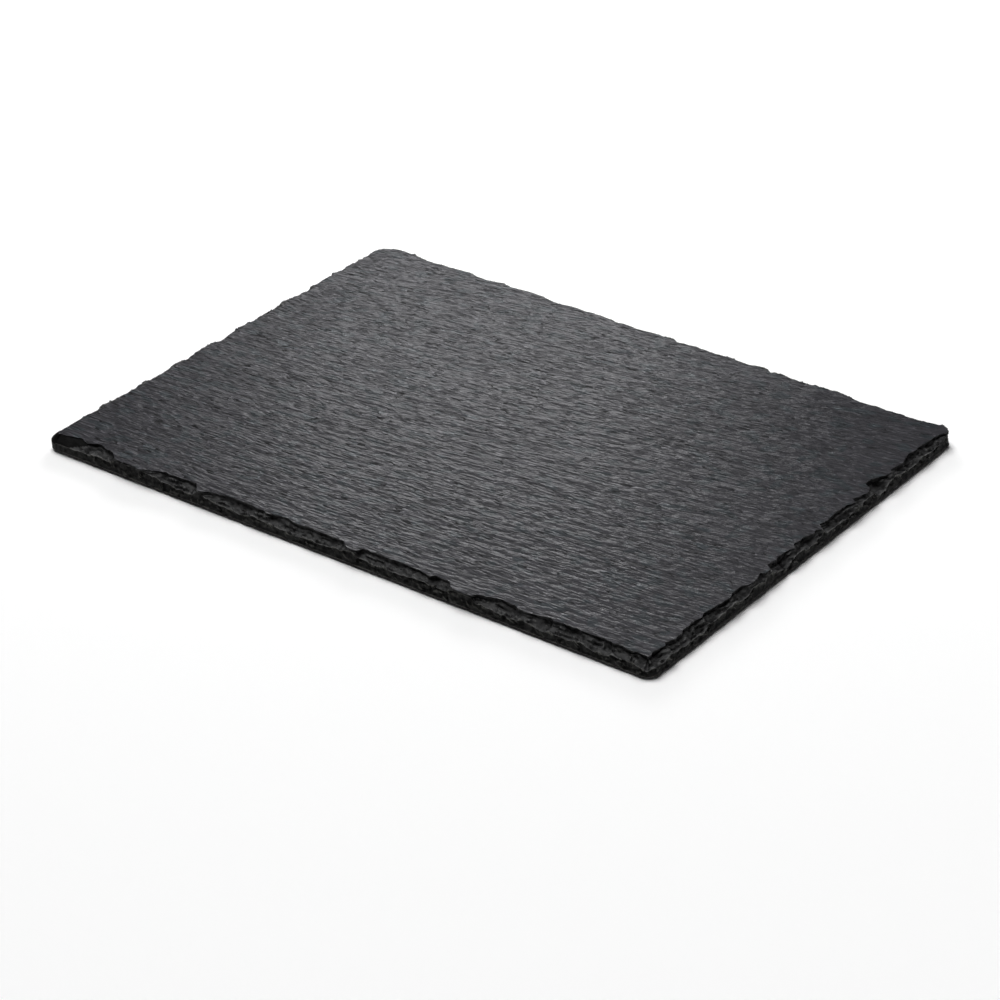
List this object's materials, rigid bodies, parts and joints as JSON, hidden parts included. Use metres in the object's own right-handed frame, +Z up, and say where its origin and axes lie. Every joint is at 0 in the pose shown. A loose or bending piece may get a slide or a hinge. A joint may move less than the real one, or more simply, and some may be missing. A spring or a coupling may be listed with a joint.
{
  "type": "slate serving board",
  "caption": "Rectangular riven slate serving board with flaked upper edges, raised on small soft stick-on feet, for serving cold food at the table.",
  "frame": {"origin": "on the table, under the middle of the board", "axes": "+X along the board's length, +Y towards the back of the picture's view, +Z up out of the serving face"},
  "size_m": [0.4, 0.3, 0.01],
  "materials": {
    "slate": "riven, with a low sheen",
    "foot_rubber": "matt",
    "tape": "matt, slightly milky"
  },
  "bodies": {
    "root": {"slate_slab": "slate", "foot_front_left": "foot_rubber", "foot_front_right": "foot_rubber", "foot_back_right": "foot_rubber", "foot_back_left": "foot_rubber", "tape_disc_front_left": "tape", "tape_disc_front_right": "tape", "tape_disc_back_right": "tape", "tape_disc_back_left": "tape"}
  },
  "joints": []
}
